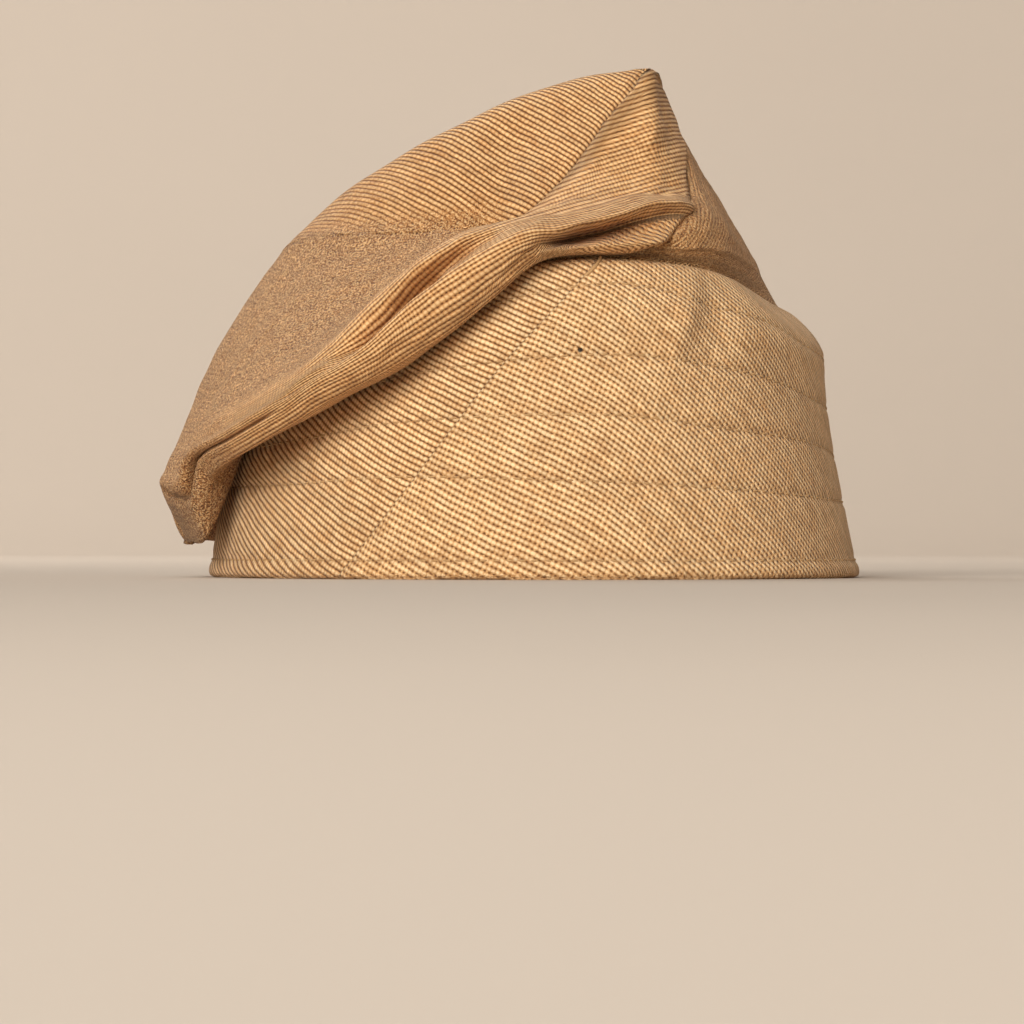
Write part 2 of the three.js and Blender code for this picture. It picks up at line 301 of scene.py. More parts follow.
def spline(stations, rows, at, period=None):
    xs = np.asarray(stations, float)
    ys = np.asarray(rows, float)
    x = np.asarray(at, float)
    if period:
        order = np.argsort(xs)
        xs, ys = xs[order], ys[order]
        xs = np.concatenate([xs[-2:] - period, xs, xs[:2] + period])
        ys = np.concatenate([ys[-2:], ys, ys[:2]])
        x = (x - xs[2]) % period + xs[2]
    slope = np.empty_like(ys)
    slope[1:-1] = (ys[2:] - ys[:-2]) / (xs[2:] - xs[:-2])[:, None]
    slope[0] = (ys[1] - ys[0]) / (xs[1] - xs[0])
    slope[-1] = (ys[-1] - ys[-2]) / (xs[-1] - xs[-2])
    i = np.clip(np.searchsorted(xs, x, side="right") - 1, 0, len(xs) - 2)
    span = (xs[i + 1] - xs[i])[:, None]
    t = (x - xs[i])[:, None] / span
    return hermite(t, span, ys[i], slope[i], ys[i + 1], slope[i + 1])


def column(stations, values, at, period=None):
    return spline(stations, np.asarray(values, float)[:, None], at, period)[:, 0]


def thread(points, steps):
    # points has a row of control points for each line; every span gets its own number of steps
    chord = np.linalg.norm(np.diff(points, axis=1), axis=2) ** 0.6 + 1e-6
    station = np.concatenate([np.zeros((len(points), 1)), np.cumsum(chord, 1)], 1)
    slope = np.empty_like(points)
    slope[:, 1:-1] = (points[:, 2:] - points[:, :-2]) / (station[:, 2:] - station[:, :-2])[..., None]
    slope[:, 0] = (points[:, 1] - points[:, 0]) / chord[:, :1]
    slope[:, -1] = (points[:, -1] - points[:, -2]) / chord[:, -1:]
    parts = []
    for j, count in enumerate(steps):
        t = (np.arange(count) / count)[None, :, None]
        span = chord[:, j][:, None, None]
        a, b = points[:, j][:, None], points[:, j + 1][:, None]
        parts.append(hermite(t, span, a, slope[:, j][:, None], b, slope[:, j + 1][:, None]))
    parts.append(points[:, -1:])
    return np.concatenate(parts, 1)


def smooth(value):
    t = np.clip(value, 0, 1)
    return t * t * (3 - 2 * t)


def after(value, edge):
    # 0 before the edge's start and 1 past its reach
    start, reach = edge
    return smooth((value - start) / reach)


def before(value, edge):
    end, reach = edge
    return smooth((end - value) / reach)


def bump(value):
    return np.exp(-value * value)


def unit(vectors):
    return vectors / np.maximum(np.linalg.norm(vectors, axis=-1, keepdims=True), 1e-9)


def place(bearing, radius, height):
    angle = np.radians(bearing)
    return np.stack([-radius * np.sin(angle), -radius * np.cos(angle), height + 0 * angle * radius], -1)


def gridNormals(grid):
    return unit(np.cross(np.gradient(grid, axis=1), np.gradient(grid, axis=0)))


def evenNormals(normals, rounds):
    even = normals
    for step in range(rounds):
        padded = np.concatenate([even[:, :1], even, even[:, -1:]], 1)
        even = unit(2 * even + padded[:, :-2] + padded[:, 2:])
    return even


def ripple(x, y, seed, waves=5, longest=30.0):
    # a smooth uneven field from a few seeded waves
    rng = random.Random(seed)
    total = 0 * x
    for k in range(waves):
        turn = rng.uniform(0, math.pi)
        length = longest * rng.uniform(0.45, 1.0)
        shift = rng.uniform(0, 2 * math.pi)
        total = total + np.sin((x * math.cos(turn) + y * math.sin(turn)) * 2 * math.pi / length + shift)
    return total / waves


# the shape of the cap, in millimetres round its axis; bearing 0 is the front, 90 the wearer's right

rimSet = {"halfLength": 102.0, "halfWidth": 85.5}

bandSet = {
    "thickness": 3.0,
    "lean": 7.4, "leanSkew": 2.2, "leanSkewBearing": -70.0, "leanEnd": 0.75, "leanPower": 1.35,
    "shoulderPower": 1.8,
    "hemRoll": 0.45, "hemHeight": 6.0,
    "columns": 460, "rows": 118, "innerRows": 24,
    "rowShift": 0.012,  # draws the rows a little towards the band's two edges
    "degreeLength": 1.62,  # millimetres round the band for one degree
    "edge": {  # upper edge: height, lean from the rim, and where the shoulder begins
        "bearing": (16, 32, 46, 62, 82, 140, 180, 230, 260, 288, 302, 316, 331, 350),
        "height": (81, 74, 66, 63.5, 65, 65, 68, 71, 70, 70, 71.3, 73.7, 76.3, 80),
        "inset": (15, 17.5, 20, 21.5, 22.5, 23, 22, 20, 16.5, 15.8, 19.5, 24.6, 23.8, 17.5),
        "shoulder": (0.78, 0.72, 0.58, 0.48, 0.42, 0.42, 0.52, 0.7, 0.8, 0.84, 0.81, 0.77, 0.77, 0.77),
    },
    "forms": (  # soft forms pressed into the band: bearing, height, spread, reach, depth, slant
        (-4.9, 65.5, 2.6, 12, 1.5, 0.26),
        (-11, 66.5, 4.4, 11, -2.0, 0.12),
    ),
    "stitchRows": {  # height of each row of stitching
        "bearing": (-70, -40, -26, -12, 8, 42, 67, 110, 180, 230),
        "upper": (56.2, 60.4, 65.6, 69.5, 74.8, 64, 56, 55, 58, 58),
        "second": (44.2, 46.8, 50.5, 53.9, 56.8, 52, 46, 44, 46, 45),
        "third": (31, 34.5, 36.5, 38.2, 41.5, 40, 36, 33, 33, 32),
        "fourth": (20, 20.6, 21.7, 22.9, 24.6, 26, 24.5, 23.5, 22, 21),
        "hem": (4.8, 4.8, 4.8, 4.8, 4.8, 4.8, 4.8, 4.8, 4.8, 4.8),
    },
    "groove": {  # pressed in by each row of stitching, with a pucker to both sides
        "width": 1.25, "depth": 0.42, "uneven": 0.22, "pucker": 0.16, "puckerReach": 3.2,
        # shade and shadeWidth paint shade along each stitched groove
        "shade": 0.28, "shadeWidth": 0.6,
    },
    "puckerWaves": (7, 6, 9.0), "sagWaves": (3, 5, 46.0),  # seed, number and longest wave
    "waveStep": 1.6, "sag": 0.35,
    "biasSeam": {  # the slanting seam: its line, its groove and the ridge on one side
        "height": (-2.0, 3.3, 24.5, 54.0, 81.0, 90.0),
        "bearing": (54.5, 51.7, 40.0, 24.8, 9.0, 4.2),
        "slope": 50.0, "farthest": 20.0, "shift": 0.65,
        "width": 1.1, "depth": 0.45, "ridge": 0.25, "ridgeAway": 2.6, "ridgeWidth": 1.8,
    },
    "ribs": {
        "zeroBearing": 20.0, "radius": 93.0,
        "across": 0.37, "fan": 0.20, "fanFrom": 18.0, "fanReach": 10.0, "up": 0.74, "upGain": 0.0011,
        "yarnAcross": 0.93, "yarnUp": -0.36,
        "openOutside": 0.85, "openInside": 0.5,
    },
    "tint": (1.0, 1.0, 1.0), "edgeWear": 0.5, "edgeWearReach": 2.5,
    "pinhole": (12.5, 57.8, 0.55),  # bearing, height, radius
}


def rimRadius(bearing):
    angle = np.radians(bearing)
    across = rimSet["halfWidth"] * np.cos(angle)
    along = rimSet["halfLength"] * np.sin(angle)
    return rimSet["halfLength"] * rimSet["halfWidth"] / np.hypot(across, along)


def bandEdge(bearing, name):
    edge = bandSet["edge"]
    return column(edge["bearing"], edge[name], bearing, 360.0)


def bandRadius(bearing, fraction):
    s = bandSet
    lean = s["lean"] + s["leanSkew"] * np.cos(np.radians(bearing - s["leanSkewBearing"]))
    body = lean * (1 - (1 - np.clip(fraction / s["leanEnd"], 0, 1)) ** s["leanPower"])
    start = bandEdge(bearing, "shoulder")
    shoulder = np.clip((fraction - start) / (1 - start), 0, 1) ** s["shoulderPower"]
    return rimRadius(bearing) - body - (bandEdge(bearing, "inset") - lean) * shoulder


def bandOutside(bearing, height):
    return bandRadius(bearing, np.clip(height / bandEdge(bearing, "height"), 0, 1))


def turnFrom(bearing, zero):
    return (bearing - zero + 180) % 360 - 180


crownSet = {
    # tint: the crown's cloth is the band's cloth made darker and warmer; the darkening is painted shade that
    # tones down the key light on the crown
    "cloth": 1.6, "clothLean": 0.62, "tint": (0.89, 0.80, 0.69),
    "tuck": 9.0, "tuckGap": 0.5, "lipRise": 0.5,
    "over": {"out": 0.7, "rise": 5.0, "fade": 12.0},  # over the band's edge, where the cloth hangs past it
    "bend": {"share": 0.8, "rise": 3.5, "gap": 3.0, "least": 5.0}, "under": {"gap": 1.6, "drop": 1.0},
    "peak": -14.0, "back": 115.0, "meanRadius": 90.0,
    "rightColumns": 300, "leftColumns": 250,
    "rightSteps": (2, 3, 6, 6, 6, 8, 12, 14, 12, 10, 10, 22, 20),
    "leftSteps": (2, 3, 7, 7, 7, 18, 22, 18, 16),
    "rightSeed": 11, "leftSeed": 31,
    "tableStep": 0.25, "tableMargin": 1.5,
    "ribRounds": 12, "innerRounds": 14, "innerTop": (1.8, 1.3),
    "seam": {  # sunk along every seam; at the back of the top panel it lies open, in a soft valley
        # shade and shadeWidth paint shade along each seam
        "sink": 1.0, "reach": 1.4, "shade": 0.7, "shadeWidth": 0.6,
        "openShare": 0.8, "openSoftness": 3.0,
        "valleyRise": 1.6, "valleyReach": 5.0, "valleyWear": 0.9,
    },
    "degreesPerLevel": 14.0,
    "underlap": 7.5,  # degrees that the left panel runs on under the right one's folds
    "underlapTo": (6.7, 0.5),
    "lowRollEnd": {"drawnIn": 4.2, "width": 3.2, "level": 6.2, "fade": 1.2},  # under the front seam
    "wideWaves": (0.5, 6, 38.0), "fineWaves": (0.22, 6, 14.0),  # height, number and longest wave
    "frontRibs": (1.12, 0.36),  # rise and fall of the rib count, upwards and sideways, on the front face
    "frontRibsBearing": -70.0, "frontRibsMiddle": (5.0, 9.5),
    "lowRollBias": 0.6,  # the cloth of the low roll is cut across the ribs
    "leftBias": 45.0,  # turn of the ribs on the left panel
    "open": 0.75, "leftWear": 0.6,
    # where each of these begins or ends, as a bearing or a level, and the reach of its soft edge
    "freeFrom": (4.5, 1.0),
    "openFrom": (26.0, 14.0), "openTo": (128.0, 8.0), "valleyTo": (114.0, 18.0),
    "lowRollTo": (7.1, 0.3), "lowRollFront": (20.0, 8.0),
    "faceFrom": (9.0, 0.8), "faceTo": (30.0, 8.0),
    "flapFrom": (82.0, 6.0), "flapTo": (7.4, 0.6),
    "wornFrom": (60.0, 24.0), "wornTo": (190.0, 30.0),
    "shelfFrom": (22.0, 14.0), "shelfAbove": (10.7, 0.5),
    # dartShade and dartWidth paint shade in the dart's crease; flapShade paints shade on the cloth under the
    # hanging flap
    "dartShade": 0.6, "dartWidth": 0.10, "flapShade": 0.45,
    "valleyWearTo": (20.0, 18.0),
    "coreFront": (3, -40, 100), "coreBack": (-38, 12, 78),
    "sections": (  # bearing, then radius and height of hang, bulge, crest and seam, then the dip
        (-14, 82.5, 86.5, 79, 93.5, 69.5, 102, 55.5, 133, 2),
        (0, 87, 86.3, 86.5, 93.5, 71, 99, 57.5, 119.5, 2.5),
        (12, 90, 85, 92, 91.5, 77, 97, 57, 104, 1.5),
        (23, 93, 76, 98, 83, 83, 91, 53, 94, 0.5),
        (32, 95, 64.5, 101, 73, 88, 86.5, 47, 92, 1),
        (40, 97, 56.5, 102, 64.5, 93, 78.5, 46, 91, 1.5),
        (48, 98, 50, 103, 55.5, 97, 67, 47, 90.5, 1),
        (58, 98, 42, 103, 48, 99, 57, 49, 90, 0.5),
        (70, 97, 34, 101.5, 39.5, 99, 47, 52, 90, -2),
        (82, 94.5, 27.5, 99.5, 33, 98, 38.5, 57, 90, -3),
        (92, 93, 20, 99, 29, 97, 35, 61, 89.5, -3.5),
        (102, 94, 10, 99.5, 26.5, 96, 35, 65.5, 88.5, -3),
        (115, 94.2, 9.7, 99.8, 24.5, 95, 37, 68.5, 88, -3),
        (130, 95.8, 9.9, 102, 25, 95.5, 42, 62, 90, -5),
        (150, 99, 20, 104.5, 37, 96, 54, 46, 94, -6),
        (175, 102, 45, 105, 56, 96, 71, 28, 104, -6),
        (200, 97, 63, 98, 71, 88, 82, 20, 111, -5),
        (225, 79, 78.5, 80, 86, 71, 96, 20, 116.5, -4),
        (260, 66, 81, 64.5, 88, 56, 99, 22, 121, -2),
        (290, 61.3, 81.5, 58.3, 88.5, 50.5, 100, 27, 125, -1),
        (320, 65.7, 83.5, 62, 91, 53.5, 105, 36, 129, -1),
    ),
    "leftFront": (  # the left panel's own rows: the flap's low edge, and the end that runs in under the folds
        (140, 97.3, 10.5, 103.4, 30, 96, 47, 54.5, 91.6, -5.5),
        (346, 81.2, 85.3, 79.2, 93, 69.5, 102, 55.5, 133, 2),
        (353, 84.6, 84.6, 83, 89.6, 70.6, 100, 56.5, 126, 2),
        (360, 84, 84.6, 83.5, 89.5, 72, 97, 57.5, 119.5, 2),
        (372, 86.5, 84.6, 86, 89, 76, 95, 57, 104, 1.5),
    ),
    # right panel: bearing, then radius and height of hang, low roll, pocket, roll, groove, upper roll, crest
    "rolls": (
        (-28, 74, 85, 73.5, 86.5, 72.5, 89, 71, 91.8, 68.5, 95.2, 66, 97.8, 61.5, 102.3),
        (-14, 82, 84.8, 82.4, 87.5, 80.2, 92, 78.6, 94.8, 75.5, 97.5, 73, 99.5, 69.5, 102.5),
        (-9.5, 84.4, 84, 86.3, 86.8, 81.6, 93, 82.2, 96, 77.5, 98.3, 74, 99.6, 70.2, 101.5),
        (-5, 86.6, 83.4, 88.9, 86, 82.4, 92.8, 86, 96, 79, 98.2, 75.2, 99, 71, 100.3),
        (0, 88, 82.9, 90.6, 85.3, 82.5, 91.3, 88.6, 95.2, 81.5, 97.6, 76.5, 98.3, 72, 99),
        (6.3, 89.6, 82.7, 92.1, 84.8, 79.5, 88.6, 92, 91.8, 85, 95, 79.5, 96, 74.5, 97.6),
        (12.6, 90.8, 82.4, 92.6, 84, 81.5, 86.4, 95, 89.4, 88, 92.8, 82.5, 94.2, 77.5, 95.8),
        (16, 91.5, 81.6, 93.6, 83.2, 89.5, 85.2, 96.8, 87.8, 90, 91.6, 84.5, 93, 79.5, 94.3),
        (20, 92.5, 79, 95.2, 81.2, 97.7, 83.8, 98.2, 87.2, 92, 90.6, 87, 91.8, 81.5, 92.7),
        (25, 93.5, 72.2, 97, 74.4, 99.7, 79, 99.8, 83.8, 94, 87, 91.4, 89.2, 84.5, 90.8),
        (31, 95, 64.2, 99, 66.7, 101.8, 71.8, 101.3, 78, 92.5, 81.2, 95.8, 85.2, 88.5, 88.2),
        (37.3, 96.5, 57.2, 100.5, 59.7, 103.2, 64, 102.6, 69.8, 89.5, 72.6, 98, 78, 92.3, 82),
        (40.5, 97, 54, 101, 56.4, 103.6, 59.9, 103, 64.6, 91, 67, 99, 72.6, 94, 77.6),
        (43.8, 97.5, 51.1, 101.5, 53.3, 103.9, 56, 103.3, 59.3, 94.5, 61.3, 100, 67, 95.5, 72.8),
        (47.5, 97.8, 48.3, 101.8, 50.4, 104, 52.7, 103.7, 55.2, 99.5, 57, 100.8, 61, 97, 66.4),
        (52, 98, 45, 102, 47, 103.8, 49.2, 103.7, 51.6, 102.2, 53.4, 101.6, 55.4, 98.3, 59.6),
        (58, 98, 39.8, 101.8, 41.4, 103.4, 43.6, 103.5, 45.8, 102.7, 47.6, 101.8, 49.3, 99.3, 52.2),
        (70, 97, 32.4, 100.3, 34.1, 101.6, 36.1, 101.8, 38, 101.3, 39.8, 100.6, 41.5, 99, 44.6),
        (82, 93.5, 27, 97.3, 28.7, 99.3, 31, 99.9, 33, 99.5, 35, 99, 36.6, 97.8, 39),
        (85, 92.6, 23, 96, 23.4, 98.5, 27, 99.7, 30.5, 99.2, 32.8, 98.6, 34.5, 97.4, 36.8),
        (88.5, 91.6, 11.2, 94.9, 14.5, 97.6, 19.5, 99.4, 25, 98.9, 29.5, 98.2, 32.5, 97, 35),
        (102, 91.6, 10, 94.4, 13.4, 97.8, 19.5, 99.9, 24.6, 99, 28.5, 97.8, 32, 96, 35.5),
        (118, 93.4, 9.7, 95.6, 13, 98.2, 18.6, 100, 24, 98.8, 28.4, 97.2, 32.5, 95, 37),
    ),
    "frontSeam": {  # bearing of the seam between the side panels, up the wall of each
        "bearing": (1.4, 1.4, -4.7, -11.3, -12.4, -14, -17.5, -23, -30, -32, -14),
        "rightLevel": (0, 5, 6, 7, 8, 9.5, 11, 11.5, 12, 12.5, 13),
        "leftLevel": (0, 5, 5.35, 5.7, 6, 6.5, 7, 7.5, 8, 8.5, 9),
    },
    "folds": (  # on the right panel: from bearing and level, to bearing and level, width, depth
        (63, 7.0, 84, 7.1, 0.22, -1.7),
        (84, 7.1, 99, 7.6, 0.22, -1.7),
        (64, 7.9, 84, 7.95, 0.5, 0.8),
        (84, 7.95, 99, 8.3, 0.5, 0.8),
        (-5, 10.2, -9.5, 12.0, 0.26, 1.6),
        (-9.5, 12.0, -11.5, 13.2, 0.26, 2.0),
        (44, 9.6, 54, 8.6, 0.28, 0.9),
        (46, 8.4, 55, 7.9, 0.22, -0.7),
        (30, 12.2, 62, 12.0, 0.35, -0.7),
    ),
}


def wallSection(bearing, table, rollCount, period=None):
    # the cloth's line up one bearing: tucked behind the band, over its edge, down, round the rolls
    # and up to the seam
    s = crownSet
    v = spline(table[:, 0], table[:, 1:], bearing, period)
    rolls = [v[:, 2 * k:2 * k + 2] for k in range(rollCount)]
    hang, crest = rolls[0], rolls[-1]
    seam, dip = v[:, 2 * rollCount:2 * rollCount + 2], v[:, 2 * rollCount + 2:]
    edgeHeight = bandEdge(bearing, "height")
    inside = bandRadius(bearing, np.ones_like(bearing)) - bandSet["thickness"] - s["tuckGap"]
    foot = np.stack([inside, edgeHeight - s["tuck"]], 1)
    lip = np.stack([inside, edgeHeight + s["lipRise"]], 1)
    o, b, n = s["over"], s["bend"], s["under"]
    overhang = smooth((edgeHeight - hang[:, 1]) / o["fade"])[:, None]
    over = np.stack([inside + bandSet["thickness"] * o["out"], edgeHeight + o["rise"]], 1)
    bendHeight = np.maximum(b["share"] * edgeHeight + b["rise"], hang[:, 1] + b["least"])
    bend = np.stack([bandOutside(bearing, bendHeight - b["rise"]) + b["gap"], bendHeight], 1)
    underHeight = (bendHeight + hang[:, 1]) / 2 - n["drop"]
    under = np.stack([bandOutside(bearing, underHeight) + n["gap"], underHeight], 1)
    way = seam - crest
    length = np.linalg.norm(way, axis=1, keepdims=True)
    middle = (crest + seam) / 2 + dip * np.stack([-way[:, 1], way[:, 0]], 1) / length
    path = [lip + (hang - lip) * part for part in (0.25, 0.5, 0.75)]
    inner = [near + (far - near) * overhang for near, far in zip(path, (over, bend, under))]
    return np.stack([foot, lip, *inner, *rolls, middle, seam], 1)


def crownSection(bearing):
    return wallSection(bearing, np.array(crownSet["sections"], float), 3, 360.0)


def rightSection(bearing):
    rolls = np.array(crownSet["rolls"], float)
    plain = np.array(crownSet["sections"], float)
    tail = spline(plain[:, 0], plain[:, 7:], rolls[:, 0], 360.0)
    return wallSection(bearing, np.concatenate([rolls, tail], 1), 7)


def leftSection(bearing):
    s = crownSet
    rows = sorted([row for row in s["sections"] if row[0] >= 102] + list(s["leftFront"]))
    return wallSection(bearing, np.array(rows, float), 3)


def frontSeam(level, side):
    seam = crownSet["frontSeam"]
    return column(seam[side + "Level"], seam["bearing"], level)


def stepLevels(steps):
    parts = [j + np.arange(count) / count for j, count in enumerate(steps)]
    return np.concatenate([*parts, [len(steps)]])


def foldDistance(bearing, level, fold):
    fromTurn, fromLevel, toTurn, toLevel = fold[:4]
    perLevel = crownSet["degreesPerLevel"]
    ax = (toTurn - fromTurn) / perLevel
    ay = toLevel - fromLevel
    px = (turnFrom(bearing, 0.0) - fromTurn) / perLevel
    py = level - fromLevel
    along = np.clip((px * ax + py * ay) / (ax * ax + ay * ay), 0, 1)
    return np.hypot(px - ax * along, py - ay * along)


def foldHeight(bearing, level):
    total = 0 * bearing * level
    for fold in crownSet["folds"]:
        width, depth = fold[4:]
        total = total + depth * bump(foldDistance(bearing, level, fold) / width)
    return total


def towardsCore(points):
    front = np.array(crownSet["coreFront"], float)
    axis = np.array(crownSet["coreBack"], float) - front
    along = np.clip(((points - front) @ axis) / (axis @ axis), 0, 1)
    return unit(front + along[..., None] * axis - points)


def innerGrid(grid, normals, weight):
    # the cloth's inner side; near the top seams it follows the way to the crown's core
    way = unit(-normals * (1 - weight) + towardsCore(grid) * weight)
    reach = crownSet["cloth"] / np.maximum(crownSet["clothLean"], -(way * normals).sum(-1))
    return grid + way * reach[..., None]


def arcLength(grid, axis):
    step = np.linalg.norm(np.diff(grid, axis=axis), axis=2)
    total = np.cumsum(step, axis=axis)
    zero = np.zeros_like(np.take(total, [0], axis=axis))
    return np.concatenate([zero, total], axis=axis)


def toScene(points):
    return points.reshape(-1, 3) * mm + np.array([axisX, axisY, 0])


def sheetMesh(name, outer, inner, weave, wear):
    # a closed sheet from two grids of the same size; weave, and the painted shade with the wear, are kept as
    # point attributes
    columns, rows = outer.shape[:2]
    count = columns * rows
    points = toScene(np.concatenate([outer.reshape(-1, 3), inner.reshape(-1, 3)]))
    at = np.arange(count).reshape(columns, rows)
    quads = []

    def add(a, b, c, d):
        quads.append(np.stack([a.ravel(), b.ravel(), c.ravel(), d.ravel()], 1))

    add(at[:-1, :-1], at[:-1, 1:], at[1:, 1:], at[1:, :-1])
    low = at + count
    add(low[:-1, :-1], low[1:, :-1], low[1:, 1:], low[:-1, 1:])
    add(at[:-1, 0], at[1:, 0], low[1:, 0], low[:-1, 0])
    add(at[:-1, -1], low[:-1, -1], low[1:, -1], at[1:, -1])
    add(at[0, :-1], low[0, :-1], low[0, 1:], at[0, 1:])
    add(at[-1, :-1], at[-1, 1:], low[-1, 1:], low[-1, :-1])
    weave = np.tile(weave.reshape(-1, 3), (2, 1))
    wear = np.tile(wear.reshape(-1, 3), (2, 1))
    return buildMesh(name, points, np.concatenate(quads), weave, wear)


def buildMesh(name, points, quads, weave=None, wear=None):
    mesh = bpy.data.meshes.new(name)
    mesh.from_pydata(points.tolist(), [], quads.tolist())
    mesh.polygons.foreach_set("use_smooth", [True] * len(mesh.polygons))
    for key, values in (("weave", weave), ("wear", wear)):
        if values is not None:
            layer = mesh.attributes.new(key, "FLOAT_VECTOR", "POINT")
            layer.data.foreach_set("vector", np.asarray(values, np.float32).ravel())
    mesh.update()
    piece = bpy.data.objects.new(name, mesh)
    scene.collection.objects.link(piece)
    return piece


# cloth and thread

clothSet = {
    "ribPitch": 1.40, "yarnPitch": 1.25,
    "wander": 0.95, "wanderScale": 75.0, "tremble": 0.35, "trembleScale": 900.0,
    # the colours follow the relief: hole and shade are painted shade in the gaps between the yarns, float is
    # a painted highlight on the raised yarns, body is the yarn's own colour
    "hole": (0.085, 0.026, 0.006), "shade": (0.31, 0.135, 0.042),
    "body": (0.62, 0.345, 0.14), "float": (0.95, 0.68, 0.38),
    "stops": {"hole": 0.10, "shade": 0.42, "body": 0.70, "float": 0.96},  # heights that have these colours
    "ribRound": 0.62, "ribFullness": (0.74, 0.46), "streakStep": (0.16, 3.7),
    "dentDepth": 0.22, "dentShift": 0.2,
    "crossHeight": (0.14, 0.60), "crossPlay": (0.8, 0.4), "crossBlend": 0.12,
    "grainScale": 2100.0, "grainHeight": (2.6, 0.66), "grainShare": 0.8,
    "light": {"base": 0.66, "rib": 0.16, "dent": 0.14, "cloud": 0.16, "fuzz": 0.22},
    "cloudScale": 24.0, "fuzzScale": 2600.0, "fuzzHeight": 0.22,
    # creaseShade sets how far the painted shade in crease darkens the cloth; seamShade and seamSharpness
    # paint shade along the slanting seam
    "creaseShade": 0.6, "seamShade": 0.5, "seamSharpness": 8.0, "endShift": 0.6, "endOpen": 0.35,
    # pitShade paints the pinhole dark as shade; pitDepth sinks it in the bump
    "pitShade": 0.96, "pitDepth": 1.5, "pitEdge": (2.0, 1.6),
    "bumpHeight": 0.0006,
    "rough": 0.72, "shine": 0.18, "cloudRough": 0.1,
    "surface": {"Sheen Weight": 0.10, "Sheen Roughness": 0.5, "Specular IOR Level": 0.35},
}


